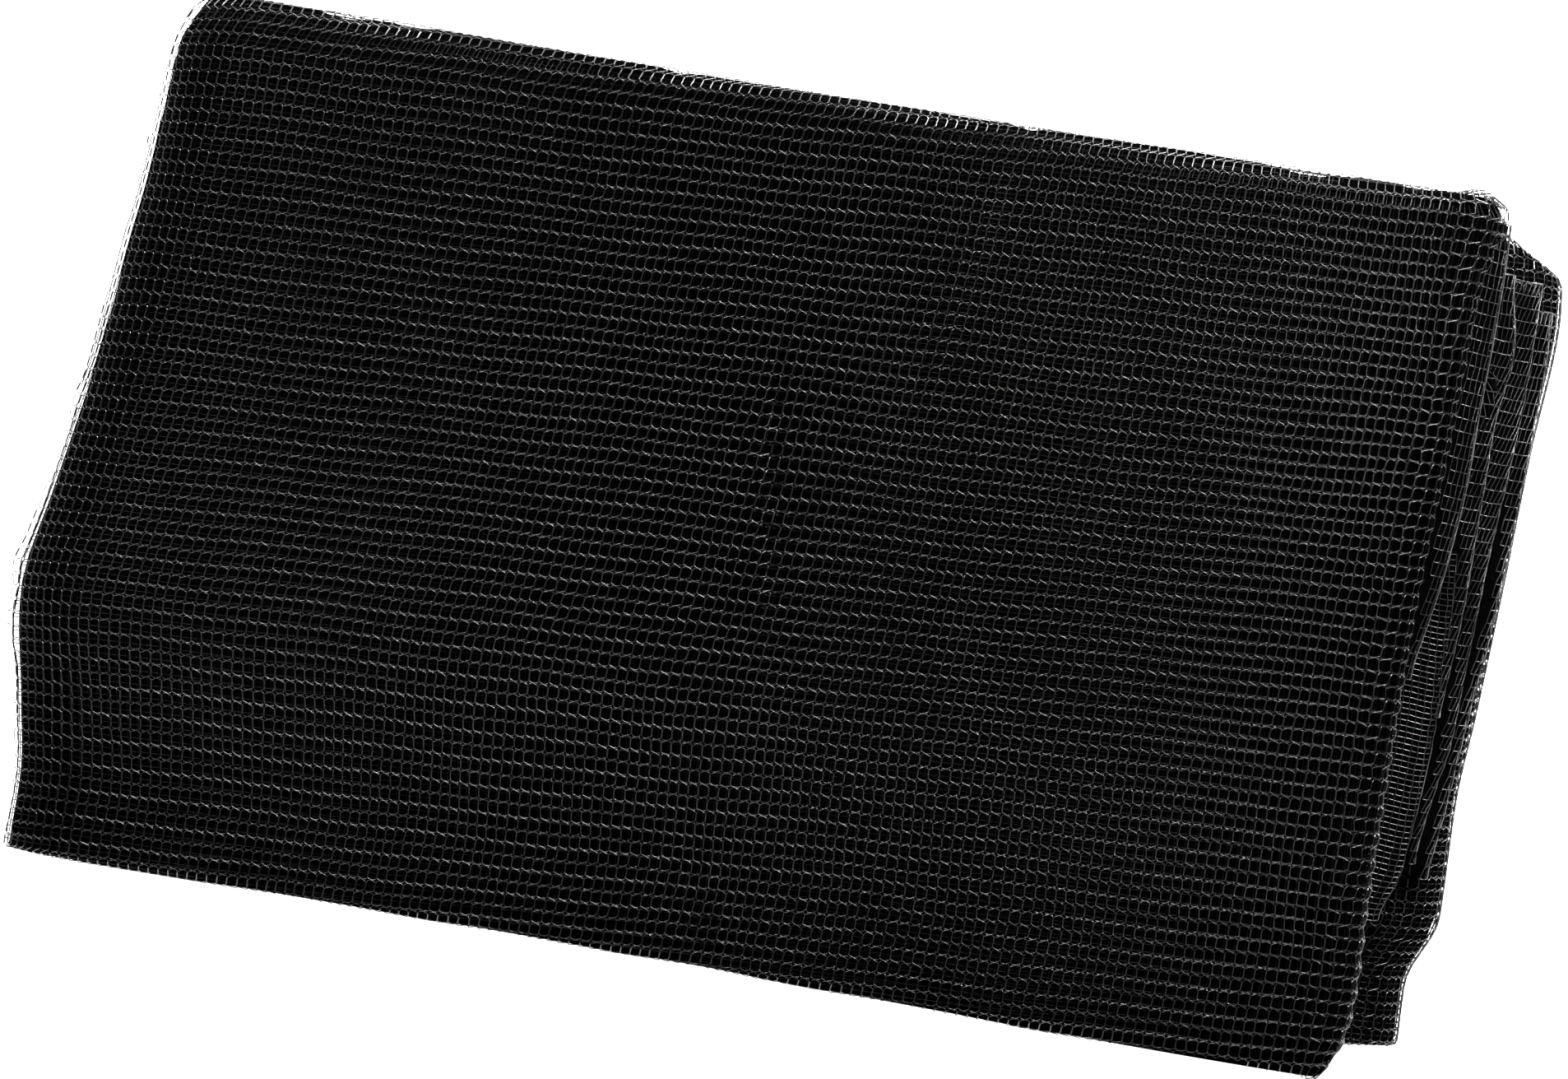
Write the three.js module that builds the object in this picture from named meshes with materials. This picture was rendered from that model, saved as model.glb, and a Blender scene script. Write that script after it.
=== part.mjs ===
import * as THREE from "three";

// A window insect screen, kept as it is sold: one cut piece of black knitted netting, folded
// lengthwise into a strip of four plies and the strip folded to and fro into a flat packet.
// Millimetres, +Z up. X runs along the packet, Y across it, from the near to the far edge.
// The origin is the middle of the footprint, on the surface that the packet lies on.

// Driving dimensions
const SHEET = 1.2; // one modelled ply, which stands for the few real plies that lie together
const AIR = 0.45; // between neighbouring plies
const PLIES = 4; // plies of the strip
const WRAP_ANGLE = Math.PI / 3; // how far the top panel's free end drapes over the left fold
const WRAP_EASE = 1.2; // extra room under that drape
const TOP_SINK = 6; // how far the top panel slopes down to its near edge
const MIDDLE_SINK = 2.5; // the same for the two panels under it
const NEAR_ROLL = { width: 5, drop: 1 }; // the soft rounding along the near edge
const CREASE = { y: -24, lean: 0.07 }; // the soft crease across the top, where the slope starts
const CUT_BACK = 3; // how far behind that crease the strip's hidden long edges end

// Fold lines seen from above: the outermost x of each fold, a row for each place along Y
const FOLD_LINES = [
  { y: -66, left: -105.5, upperRight: 96.4, middleRight: 96.4, lowerRight: 105.6, lowerEnd: -99 },
  { y: -52, left: -104.9, upperRight: 96.6, middleRight: 96.6, lowerRight: 105.2, lowerEnd: -100 },
  { y: -41, left: -106.2, upperRight: 96.2, middleRight: 96.2, lowerRight: 108.8, lowerEnd: -101.5 },
  { y: -24, left: -108.6, upperRight: 96, middleRight: 96, lowerRight: 108.5, lowerEnd: -105 },
  { y: -10, left: -106.2, upperRight: 96, middleRight: 96.2, lowerRight: 109.5, lowerEnd: -103.5 },
  { y: 10, left: -102.8, upperRight: 96.5, middleRight: 97, lowerRight: 110.6, lowerEnd: -99.5 },
  { y: 30, left: -100.4, upperRight: 97.5, middleRight: 98.1, lowerRight: 111.5, lowerEnd: -97 },
  { y: 48, left: -98.6, upperRight: 98.2, middleRight: 98.8, lowerRight: 112.8, lowerEnd: -95 },
  { y: 58, left: -98, upperRight: 98.5, middleRight: 99.1, lowerRight: 111.8, lowerEnd: -94 },
  { y: 66, left: -95, upperRight: 98.7, middleRight: 99.3, lowerRight: 109.5, lowerEnd: -92 },
];

// Long edges of the panels, a row for each place along X
const UPPER_EDGES = [
  { x: -108, near: -63.6, far: 66.2 },
  { x: 0, near: -64.8, far: 65.2 },
  { x: 12, near: -65.2, far: 65.2 },
  { x: 95, near: -67, far: 65.4 },
];
const LOWER_EDGES = [
  { x: -108, near: -62.6, far: 63.5 },
  { x: 60, near: -62.8, far: 64 },
  { x: 97, near: -62.4, far: 63.5 },
  { x: 109, near: -61.5, far: 57 },
];

// Soft unevenness of the height, as a share of it, a row for each long wave
const WAVES = [
  { amount: 0.008, alongX: 0.045, alongY: 0.02, phase: 0.4 },
  { amount: 0.006, alongX: -0.02, alongY: 0.09, phase: 1.9 },
];

// Where stations lie: shares of the way from the near fold to the cut edges, from there to the
// far fold, and along a panel
const NEAR_SHARES = [0.1, 0.3, 0.6, 0.85];
const FAR_SHARES = [0, 0.08, 0.3, 0.55, 0.8, 0.95];
const PANEL_SHARES = [0.06, 0.3, 0.5, 0.7, 0.94];
const BEND_STEPS = { foldOver: 7, outer: 6, inner: 4, near: 5, wrap: 4 };

const PITCH = SHEET + AIR;
const STRIP = PLIES * PITCH - AIR;
const PANEL = PLIES * PITCH;
const FOLD_RADIUS = PANEL / 2;
const FOLD_REACH = FOLD_RADIUS + STRIP / 2;
const WRAP_RADIUS = 3 * FOLD_RADIUS + WRAP_EASE;
const WRAP_REACH = (WRAP_RADIUS + STRIP / 2) * Math.sin(WRAP_ANGLE);

// A smooth curve through a table's rows that never swings past them
function along(rows, key, column, at) {
  const last = rows.length - 1;
  const place = THREE.MathUtils.clamp(at, rows[0][key], rows[last][key]);
  let row = 0;
  while (row < last - 1 && place > rows[row + 1][key]) row += 1;
  const slope = (k) => (rows[k + 1][column] - rows[k][column]) / (rows[k + 1][key] - rows[k][key]);
  const tangent = (k) => {
    if (k === 0 || k === last) return 0;
    const product = slope(k - 1) * slope(k);
    return product > 0 ? (2 * product) / (slope(k - 1) + slope(k)) : 0;
  };
  const width = rows[row + 1][key] - rows[row][key];
  const t = (place - rows[row][key]) / width;
  const rise = rows[row + 1][column] - rows[row][column];
  const start = tangent(row) * width;
  const end = tangent(row + 1) * width;
  return rows[row][column] + t * (start + t * (3 * rise - 2 * start - end + t * (start + end - 2 * rise)));
}

// The strip's cross-section, from its first cut edge to its second. Each station has its place
// across the packet (y), its height in the strip (w) and the direction of its upper face.
// The first ply wraps round the far edge to the top; the third and second lie inside.
function stripStations(near, far, middleX) {
  const farCentre = far - SHEET / 2 - 1.5 * PITCH;
  const nearCentre = near + SHEET / 2 + 0.5 * PITCH;
  const cutEdge = CREASE.y + CREASE.lean * middleX + CUT_BACK;
  const nearPart = NEAR_SHARES.map((share) => THREE.MathUtils.lerp(nearCentre, cutEdge, share));
  const farPart = FAR_SHARES.map((share) => THREE.MathUtils.lerp(cutEdge, farCentre, share));
  const whole = [...nearPart, ...farPart];
  const stations = [];
  const flat = (places, w, side) => {
    for (const y of places) stations.push({ y, w, ny: 0, nw: side });
  };
  const bend = (centreY, centreW, radius, from, to, steps, side) => {
    for (let k = 0; k <= steps; k += 1) {
      const angle = THREE.MathUtils.lerp(from, to, k / steps);
      const ny = Math.cos(angle);
      const nw = Math.sin(angle);
      stations.push({ y: centreY + radius * ny, w: centreW + radius * nw, ny: side * ny, nw: side * nw });
    }
  };
  const right = Math.PI / 2;
  flat(farPart, -1.5 * PITCH, -1);
  bend(farCentre, 0, 1.5 * PITCH, -right, right, BEND_STEPS.outer, 1);
  flat([...whole].reverse(), 1.5 * PITCH, 1);
  bend(nearCentre, PITCH, 0.5 * PITCH, right, 3 * right, BEND_STEPS.near, 1);
  flat(whole, 0.5 * PITCH, -1);
  bend(farCentre, 0, 0.5 * PITCH, right, -right, BEND_STEPS.inner, -1);
  flat([...farPart].reverse(), -0.5 * PITCH, 1);
  return stations;
}

const foldX = (column, y) => along(FOLD_LINES, "y", column, y);
const lowerRight = (y) => foldX("lowerRight", y) - FOLD_REACH;
const middleRight = (y) => foldX("middleRight", y) - FOLD_REACH;
const upperRight = (y) => foldX("upperRight", y) - FOLD_REACH;
const left = (y) => foldX("left", y) + WRAP_REACH;
const panelHeight = (index) => STRIP / 2 + index * PANEL;

// Where each panel ends, at a place along Y
const panelEnds = [
  { left: (y) => foldX("lowerEnd", y), right: lowerRight },
  { left, right: lowerRight },
  { left, right: middleRight },
  { left, right: upperRight },
];
const PANEL_EDGES = [LOWER_EDGES, LOWER_EDGES, UPPER_EDGES, UPPER_EDGES];
const PANEL_SINKS = [0, MIDDLE_SINK, MIDDLE_SINK, TOP_SINK];

// The path that the strip takes through the packet, from the lowest panel's free end to the
// top panel's. side is which way the strip's top ply faces; level is the panel, with a share.
function pathStations() {
  const stations = [];
  const straight = (panel, shares, side) => {
    for (const share of shares) {
      const x = (y) => THREE.MathUtils.lerp(panelEnds[panel].left(y), panelEnds[panel].right(y), share);
      stations.push({ x, z: panelHeight(panel), nx: 0, nz: side, level: panel });
    }
  };
  const turn = (end, below, hand, side) => {
    const centreZ = (panelHeight(below) + panelHeight(below + 1)) / 2;
    for (let k = 0; k <= BEND_STEPS.foldOver; k += 1) {
      const angle = THREE.MathUtils.lerp(-Math.PI / 2, Math.PI / 2, k / BEND_STEPS.foldOver);
      const nx = hand * Math.cos(angle);
      const nz = Math.sin(angle);
      const share = (1 + nz) / 2;
      const level = below + share;
      const x = (y) => {
        const centre = THREE.MathUtils.lerp(panelEnds[below][end](y), panelEnds[below + 1][end](y), share);
        return centre + FOLD_RADIUS * nx;
      };
      stations.push({ x, z: centreZ + FOLD_RADIUS * nz, nx: side * nx, nz: side * nz, level });
    }
  };
  const rightward = PANEL_SHARES;
  const leftward = [...PANEL_SHARES].reverse();
  straight(0, [0, ...rightward], -1);
  turn("right", 0, 1, 1);
  straight(1, leftward, 1);
  turn("left", 1, -1, -1);
  straight(2, rightward, -1);
  turn("right", 2, 1, 1);
  straight(3, leftward, 1);
  const wrapCentreZ = panelHeight(3) - WRAP_RADIUS;
  for (let k = 0; k <= BEND_STEPS.wrap; k += 1) {
    const angle = (WRAP_ANGLE * k) / BEND_STEPS.wrap;
    const nx = -Math.sin(angle);
    const nz = Math.cos(angle);
    const x = (y) => panelEnds[3].left(y) + WRAP_RADIUS * nx;
    stations.push({ x, z: wrapCentreZ + WRAP_RADIUS * nz, nx, nz, level: 3 });
  }
  return stations;
}

// A value that each panel has, blended over the fold between two panels
function blendLevels(level, valueOf) {
  const below = Math.floor(level);
  const above = Math.min(below + 1, PANEL_EDGES.length - 1);
  return THREE.MathUtils.lerp(valueOf(below), valueOf(above), level - below);
}

// How far a point sinks towards the near edge, where fewer plies lie under the top panel
function sinkAt(level, y, near, middleX) {
  const crease = CREASE.y + CREASE.lean * middleX;
  const share = THREE.MathUtils.clamp((crease - y) / (crease - near), 0, 1);
  const roll = THREE.MathUtils.clamp((near + NEAR_ROLL.width - y) / NEAR_ROLL.width, 0, 1);
  const depth = blendLevels(level, (panel) => PANEL_SINKS[panel]);
  return depth * share ** 1.5 + (depth / TOP_SINK) * NEAR_ROLL.drop * roll ** 2;
}

// The share by which soft waves lift or lower a point
function waveAt(x, y) {
  let share = 0;
  for (const wave of WAVES) {
    share += wave.amount * Math.sin(wave.alongX * x + wave.alongY * y + wave.phase);
  }
  return share;
}

// The closed ring round the strip's section at one station of the path
function ringAt(station) {
  const middleX = station.x(0);
  const near = blendLevels(station.level, (panel) => along(PANEL_EDGES[panel], "x", "near", middleX));
  const far = blendLevels(station.level, (panel) => along(PANEL_EDGES[panel], "x", "far", middleX));
  const section = stripStations(near, far, middleX);
  const point = (part, face) => {
    const y = part.y + (face * part.ny * SHEET) / 2;
    const w = part.w + (face * part.nw * SHEET) / 2;
    const x = station.x(y) + station.nx * w;
    const z = station.z + station.nz * w - sinkAt(station.level, y, near, middleX);
    return new THREE.Vector3(x, y, z * (1 + waveAt(x, y)));
  };
  const upper = section.map((part) => point(part, 1));
  const lower = section.map((part) => point(part, -1));
  return [...upper, ...lower.reverse()];
}

// The folded sheet as one closed solid: rings joined along the path, with both ends closed
function foldedSheet() {
  const rings = pathStations().map(ringAt);
  const around = rings[0].length;
  const positions = rings.flat().flatMap((point) => point.toArray());
  const faces = [];
  for (let i = 0; i < rings.length - 1; i += 1) {
    for (let j = 0; j < around; j += 1) {
      const next = (j + 1) % around;
      const a = i * around + j;
      const b = i * around + next;
      const c = (i + 1) * around + next;
      const d = (i + 1) * around + j;
      faces.push(a, c, b, a, d, c);
    }
  }
  const lastRing = (rings.length - 1) * around;
  for (let j = 0; j < around / 2 - 1; j += 1) {
    const upper = [j, j + 1];
    const lower = [around - 1 - j, around - 2 - j];
    faces.push(upper[0], lower[1], lower[0], upper[0], upper[1], lower[1]);
    const [u0, u1, l0, l1] = [...upper, ...lower].map((index) => index + lastRing);
    faces.push(u0, l0, l1, u0, l1, u1);
  }
  const geometry = new THREE.BufferGeometry();
  geometry.setAttribute("position", new THREE.Float32BufferAttribute(positions, 3));
  geometry.setIndex(faces);
  geometry.computeBoundingBox();
  const middle = geometry.boundingBox.getCenter(new THREE.Vector3());
  geometry.translate(-middle.x, -middle.y, -geometry.boundingBox.min.z);
  geometry.computeVertexNormals();
  return geometry;
}

const netting = new THREE.MeshStandardMaterial({ color: 0x0d0d0e, roughness: 0.55, metalness: 0 });

const group = new THREE.Group();
const net = new THREE.Mesh(foldedSheet(), netting);
net.name = "net";
group.add(net);

export default group;
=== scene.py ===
# %% [markdown]
# A window insect screen is a large cut of fine black netting. For the shelf it is folded
# lengthwise into a strip of a few plies, and the strip is folded to and fro into a flat packet.
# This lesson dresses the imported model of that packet: a dark sheet that lies on every fold, and
# the knitted yarns themselves as real threads on every side that can be seen.
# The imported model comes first, because everything else has to fit it.

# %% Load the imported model
import math

import bpy
import numpy as np
from mathutils import Matrix, Vector


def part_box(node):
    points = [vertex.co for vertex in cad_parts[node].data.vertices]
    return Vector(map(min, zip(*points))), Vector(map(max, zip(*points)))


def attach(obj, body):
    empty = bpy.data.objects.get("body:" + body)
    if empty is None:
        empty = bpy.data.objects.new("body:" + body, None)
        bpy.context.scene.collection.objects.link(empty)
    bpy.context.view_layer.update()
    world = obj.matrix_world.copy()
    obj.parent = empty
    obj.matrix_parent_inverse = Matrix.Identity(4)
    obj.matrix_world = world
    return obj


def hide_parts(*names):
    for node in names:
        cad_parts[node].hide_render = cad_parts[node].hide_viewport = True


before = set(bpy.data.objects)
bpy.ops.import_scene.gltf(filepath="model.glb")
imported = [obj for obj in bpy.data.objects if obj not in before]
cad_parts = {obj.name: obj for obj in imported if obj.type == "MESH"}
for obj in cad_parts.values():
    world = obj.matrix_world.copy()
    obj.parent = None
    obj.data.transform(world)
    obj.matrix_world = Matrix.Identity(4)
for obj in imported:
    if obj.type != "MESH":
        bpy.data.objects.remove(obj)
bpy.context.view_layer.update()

# %% [markdown]
# The folds are worked out in millimetres, from the same few sizes that the solid model has: the
# thickness of a ply, the air between plies, and the place of every fold seen from above. A real
# fold line is never straight, so each one is a short table of places along the packet's width.

# %% Sizes of the folds
MM = 0.001
SHEET = 1.2  # one ply of the model, which stands for the few real plies that lie together
AIR = 0.45
PLIES = 4
WRAP_ANGLE = math.pi / 3  # how far the top panel's free end drapes over the left fold
WRAP_EASE = 1.2
CREASE = {"y": -24, "lean": 0.07}  # where the top starts to slope down to its near edge
CUT_BACK = 3
NEAR_ROLL = {"width": 5, "drop": 1}
PANEL_SINKS = [0, 2.5, 2.5, 6]  # how far each panel slopes down, from the lowest to the top one
TOP_SINK = PANEL_SINKS[-1]

PITCH = SHEET + AIR
STRIP = PLIES * PITCH - AIR
PANEL = PLIES * PITCH
OUTER = 1.5 * PITCH  # from the strip's middle to its outer plies
INNER = 0.5 * PITCH
FOLD_RADIUS = PANEL / 2
FOLD_REACH = FOLD_RADIUS + STRIP / 2
WRAP_RADIUS = 3 * FOLD_RADIUS + WRAP_EASE
WRAP_REACH = (WRAP_RADIUS + STRIP / 2) * math.sin(WRAP_ANGLE)


def table(names, *rows):
    """A short table as one array for each named column."""
    return dict(zip(names.split(), np.array(rows, float).T))


FOLD_LINES = table(
    "y left upper_right middle_right lower_right lower_end",
    (-66, -105.5, 96.4, 96.4, 105.6, -99),
    (-52, -104.9, 96.6, 96.6, 105.2, -100),
    (-41, -106.2, 96.2, 96.2, 108.8, -101.5),
    (-24, -108.6, 96, 96, 108.5, -105),
    (-10, -106.2, 96, 96.2, 109.5, -103.5),
    (10, -102.8, 96.5, 97, 110.6, -99.5),
    (30, -100.4, 97.5, 98.1, 111.5, -97),
    (48, -98.6, 98.2, 98.8, 112.8, -95),
    (58, -98, 98.5, 99.1, 111.8, -94),
    (66, -95, 98.7, 99.3, 109.5, -92),
)
UPPER_EDGES = table(
    "x near far", (-108, -63.6, 66.2), (0, -64.8, 65.2), (12, -65.2, 65.2), (95, -67, 65.4)
)
LOWER_EDGES = table(
    "x near far", (-108, -62.6, 63.5), (60, -62.8, 64), (97, -62.4, 63.5), (109, -61.5, 57)
)
WAVES = table("amount along_x along_y phase", (0.008, 0.045, 0.02, 0.4), (0.006, -0.02, 0.09, 1.9))


def along(rows, key, column, at):
    """A smooth curve through a table's rows that never swings past them."""
    keys, values = rows[key], rows[column]
    at = np.clip(at, keys[0], keys[-1])
    row = np.clip(np.searchsorted(keys, at, side="right") - 1, 0, len(keys) - 2)
    width = np.diff(keys)
    rise = np.diff(values)
    slope = rise / width
    tangent = np.zeros(len(keys))
    same_way = slope[:-1] * slope[1:] > 0
    product = 2 * slope[:-1] * slope[1:]
    tangent[1:-1][same_way] = (product / (slope[:-1] + slope[1:]))[same_way] if same_way.any() else 0
    t = (at - keys[row]) / width[row]
    start = tangent[row] * width[row]
    end = tangent[row + 1] * width[row]
    rise = rise[row]
    return values[row] + t * (start + t * (3 * rise - 2 * start - end + t * (start + end - 2 * rise)))


print("Strip of", PLIES, "plies, mm thick:", STRIP, "and panels every", PANEL, "mm")

# %% [markdown]
# The cloth is one long path: it starts at the top panel's free end, which drapes over the left
# fold, crosses the top, turns down at the right, comes back, and so on to the lowest panel.
# A place on the path is a length in millimetres, so that the threads can be laid at their real
# spacing and stay in line over each fold.

# %% The path through the packet
PARTS = [
    ("wrap", 3), ("panel", 3), ("turn", 2), ("panel", 2),
    ("turn", 1), ("panel", 1), ("turn", 0), ("panel", 0),
]


def fold_x(column, y):
    return along(FOLD_LINES, "y", column, y)


def panel_height(index):
    return STRIP / 2 + index * PANEL


def panel_ends(y, level):
    """The x of a panel's left and right ends, where its folds begin, at places along Y."""
    left = np.where(level <= 0, fold_x("lower_end", y), fold_x("left", y) + WRAP_REACH)
    share = np.clip(level - 2, 0, 1)
    upper = fold_x("middle_right", y) * (1 - share) + fold_x("upper_right", y) * share
    right = np.where(level >= 2, upper, fold_x("lower_right", y)) - FOLD_REACH
    return left, right


def part_length(kind, index):
    if kind == "wrap":
        return WRAP_ANGLE * (WRAP_RADIUS + OUTER)
    if kind == "turn":
        return math.pi * (FOLD_RADIUS + OUTER)
    left, right = panel_ends(np.zeros(1), index)
    return float(right[0] - left[0])


LENGTHS = np.array([part_length(*part) for part in PARTS])
STARTS = np.concatenate([[0], np.cumsum(LENGTHS)])
START = dict(zip(PARTS, STARTS))
PATH_END = float(STARTS[-1])


def path_at(u):
    """What the path does at each length u: its share of the panel, its height and its normal."""
    u = np.asarray(u, float)
    number = np.clip(np.searchsorted(STARTS, u, side="right") - 1, 0, len(PARTS) - 1)
    t = (u - STARTS[number]) / LENGTHS[number]
    place = {key: np.zeros(u.shape) for key in ("share", "dx", "z", "nx", "nz", "level")}

    def put(here, **values):
        for key, value in values.items():
            place[key][here] = value

    for k, (kind, index) in enumerate(PARTS):
        here = number == k
        if kind == "wrap":
            angle = WRAP_ANGLE * (1 - t[here])
            nx, nz = -np.sin(angle), np.cos(angle)
            z = panel_height(3) - WRAP_RADIUS + WRAP_RADIUS * nz
            put(here, dx=WRAP_RADIUS * nx, z=z, nx=nx, nz=nz, level=3)
        elif kind == "panel":
            side = 1 if index % 2 else -1
            share = t[here] if index % 2 else 1 - t[here]
            put(here, share=share, z=panel_height(index), nz=side, level=index)
        else:
            side = -1 if index == 1 else 1
            angle = math.pi * (0.5 - t[here])
            cos, sin = np.cos(angle), np.sin(angle)
            middle = (panel_height(index) + panel_height(index + 1)) / 2
            put(here, share=(1 + side) / 2, dx=side * FOLD_RADIUS * cos, z=middle + FOLD_RADIUS * sin)
            put(here, nx=cos, nz=side * sin, level=index + (1 + sin) / 2)
    return place


def x_at(place, y):
    left, right = panel_ends(y, place["level"])
    return left + (right - left) * place["share"] + place["dx"]


def edges_at(place):
    """The near and far edge of the strip, and the path's x, at each place."""
    middle_x = x_at(place, np.zeros(place["z"].shape))
    mix = np.clip(place["level"] - 1, 0, 1)
    near, far = (
        along(LOWER_EDGES, "x", side, middle_x) * (1 - mix) + along(UPPER_EDGES, "x", side, middle_x) * mix
        for side in ("near", "far")
    )
    return near, far, middle_x


print("The path is", round(PATH_END), "mm long, in", len(PARTS), "parts")

# %% [markdown]
# The top isn't a plane. It slopes to the near edge past a long soft crease, the whole packet
# swells and dips a little, and older fold marks cross the top as faint ridges and troughs. Each
# of those marks is listed, with its own direction, length, width and height.

# %% Slope, waves and fold marks
FOLD_MARKS = table(
    "x y angle length width height",
    (22, 40, 80, 34, 1.3, 0.55),
    (0, 6, 97, 42, 0.9, -0.85),
    (-1, -58, 84, 14, 1.3, 0.5),
    (-62, 30, 62, 60, 9, 0.35),
    (50, 18, 100, 70, 12, -0.3),
    (-30, -8, 40, 80, 14, 0.3),
)
SHIFT = np.zeros(3)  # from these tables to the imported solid, measured in the next step


def sink_at(place, y, near, middle_x):
    crease = CREASE["y"] + CREASE["lean"] * middle_x
    share = np.clip((crease - y) / (crease - near), 0, 1)
    roll = np.clip((near + NEAR_ROLL["width"] - y) / NEAR_ROLL["width"], 0, 1)
    depth = np.interp(place["level"], range(PLIES), PANEL_SINKS)
    return depth * share**1.5 + depth / TOP_SINK * NEAR_ROLL["drop"] * roll**2


def waves_at(waves, a, b):
    """The sum of a table's waves, each of which runs along a and b at its own rates."""
    return sum(
        amount * np.sin(along_a * a + along_b * b + phase)
        for amount, along_a, along_b, phase in zip(*waves.values())
    )


def marks_at(x, y):
    height = np.zeros(np.broadcast(x, y).shape)
    for mark_x, mark_y, angle, length, width, rise in zip(*FOLD_MARKS.values()):
        cos, sin = math.cos(math.radians(angle)), math.sin(math.radians(angle))
        run = (x - mark_x) * cos + (y - mark_y) * sin
        away = (y - mark_y) * cos - (x - mark_x) * sin
        height += rise * np.exp(-((2 * run / length) ** 4) - (away / width) ** 2)
    return height


def lay(place, y, w, near, middle_x):
    """Points of the packet at path places, y across it and w up from the strip's middle."""
    x = x_at(place, y) + place["nx"] * w
    z = place["z"] + place["nz"] * w - sink_at(place, y, near, middle_x)
    z = z * (1 + waves_at(WAVES, x, y)) + marks_at(x, y) * np.clip(place["level"] - 2, 0, 1)
    return np.stack([x, y + 0 * x, z], axis=-1) + SHIFT


print("Fold marks on the top:", len(FOLD_MARKS["x"]))

# %% [markdown]
# Across the path, the strip is a flat spiral of four plies: the first ply wraps round the far
# edge and becomes the top one, which turns under at the near edge. The sheet follows all of it.
# The lowest fold at the right is pressed flatter into a lip. The middle of the section is laid
# out first, at the solid's own thickness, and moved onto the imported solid's box.

# %% The section of the strip
NEAR_SHARE = 0.35  # the share of the stations that lie before the cut
OUTER_STEPS, INNER_STEPS = 10, 8  # round the outer and the inner folds


def section_stations(near, far, middle_x, step):
    """Stations across the strip, for each place on the path: y, w and the outward normal."""
    far_middle = far - SHEET / 2 - OUTER
    near_middle = near + SHEET / 2 + INNER
    cut = CREASE["y"] + CREASE["lean"] * middle_x + CUT_BACK
    span = float(np.max(far_middle - near_middle))
    near_part = np.linspace(0, 1, max(3, round(NEAR_SHARE * span / step)), endpoint=False)
    far_part = np.linspace(0, 1, max(4, round((1 - NEAR_SHARE) * span / step)))
    near_y = near_middle[:, None] + (cut - near_middle)[:, None] * near_part[1:]
    far_y = cut[:, None] + (far_middle - cut)[:, None] * far_part
    whole = np.concatenate([near_y, far_y[:, :-1]], axis=1)
    columns = []

    def flat(places, w, side):
        columns.append((places, w + 0 * places, 0 * places, side + 0 * places))

    def bend(middle_y, middle_w, radius, start, end, steps, side):
        angle = np.linspace(start, end, steps + 1)[None, :] + 0 * near[:, None]
        cos, sin = np.cos(angle), np.sin(angle)
        columns.append((middle_y[:, None] + radius * cos, middle_w + radius * sin, side * cos, side * sin))

    right = math.pi / 2
    flat(far_y[:, :-1], -OUTER, -1)
    bend(far_middle, 0, OUTER, -right, right, OUTER_STEPS, 1)
    flat(whole[:, ::-1], OUTER, 1)
    bend(near_middle, PITCH, INNER, right, 3 * right, INNER_STEPS, 1)
    flat(whole, INNER, -1)
    bend(far_middle, 0, INNER, right, -right, INNER_STEPS, -1)
    flat(far_y[:, -2::-1], -INNER, 1)
    return [np.concatenate(parts, axis=1) for parts in zip(*columns)]


PINCH = 0.9  # how far the lowest fold at the right is pressed into a lip


def pressed(place):
    """The place with the lowest fold at the right pressed flatter towards its edge."""
    here = (place["dx"] > 0) & (place["level"] < 1)
    flat = np.where(here, np.abs(place["nz"]) ** PINCH, 1)
    middle = STRIP / 2 + FOLD_RADIUS
    z = np.where(here, middle + (place["z"] - middle) * flat, place["z"])
    return {**place, "z": z, "nz": place["nz"] * flat}


def sheet_points(u, step, offset, outset=0, seat=None, lip=None):
    """A face of the folded sheet: a grid of points, along the path and across the strip."""
    place = {key: value[:, None] for key, value in pressed(path_at(u)).items()}
    place["dx"] = place["dx"] + outset * np.sign(place["dx"]) * np.abs(place["nx"])
    near, far, middle_x = (value[:, 0] for value in edges_at(place))
    y, w, ny, nw = section_stations(near, far, middle_x, step)
    if seat:
        offset = offset + seat(middle_x[:, None], ny)
    if lip:
        place["dx"] = place["dx"] + lip(place, y)
    return lay(place, y + offset * ny, w + offset * nw, near[:, None], middle_x[:, None])


BEND_STEPS = {"wrap": 2, "turn": 1.5}
LOWER_PANELS = 4  # how much wider the steps are on the lower panels


def path_steps(spacing):
    """Places along the path, closer together on the top panel and in the turns."""
    steps = []
    for (kind, index), start, length in zip(PARTS, STARTS, LENGTHS):
        gap = BEND_STEPS.get(kind, spacing if index == 3 else LOWER_PANELS * spacing)
        steps.append(np.linspace(start, start + length, max(2, round(length / gap)), endpoint=False))
    return np.concatenate([*steps, [PATH_END]])


low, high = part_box("net")
outline = [sheet_points(path_steps(spacing=5), 4, side * SHEET / 2) for side in (-1, 1)]
outline = np.concatenate(outline, axis=1).reshape(-1, 3)
middle = (outline.min(axis=0) + outline.max(axis=0)) / 2
SHIFT = np.array([*((low + high) / (2 * MM))[:2], low.z / MM]) - [middle[0], middle[1], outline[:, 2].min()]
size_gap = (outline.max(axis=0) - outline.min(axis=0)) - np.array((high - low) / MM)
print("Shift onto the packed solid, mm:", SHIFT.round(2), "size gap, mm:", size_gap.round(2))

# %% [markdown]
# Meshes of this size are built from arrays in one go, not face by face. Every mesh gets smooth
# shading, and a map for later baking: a plain one from above, unless it brings its own.

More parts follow.
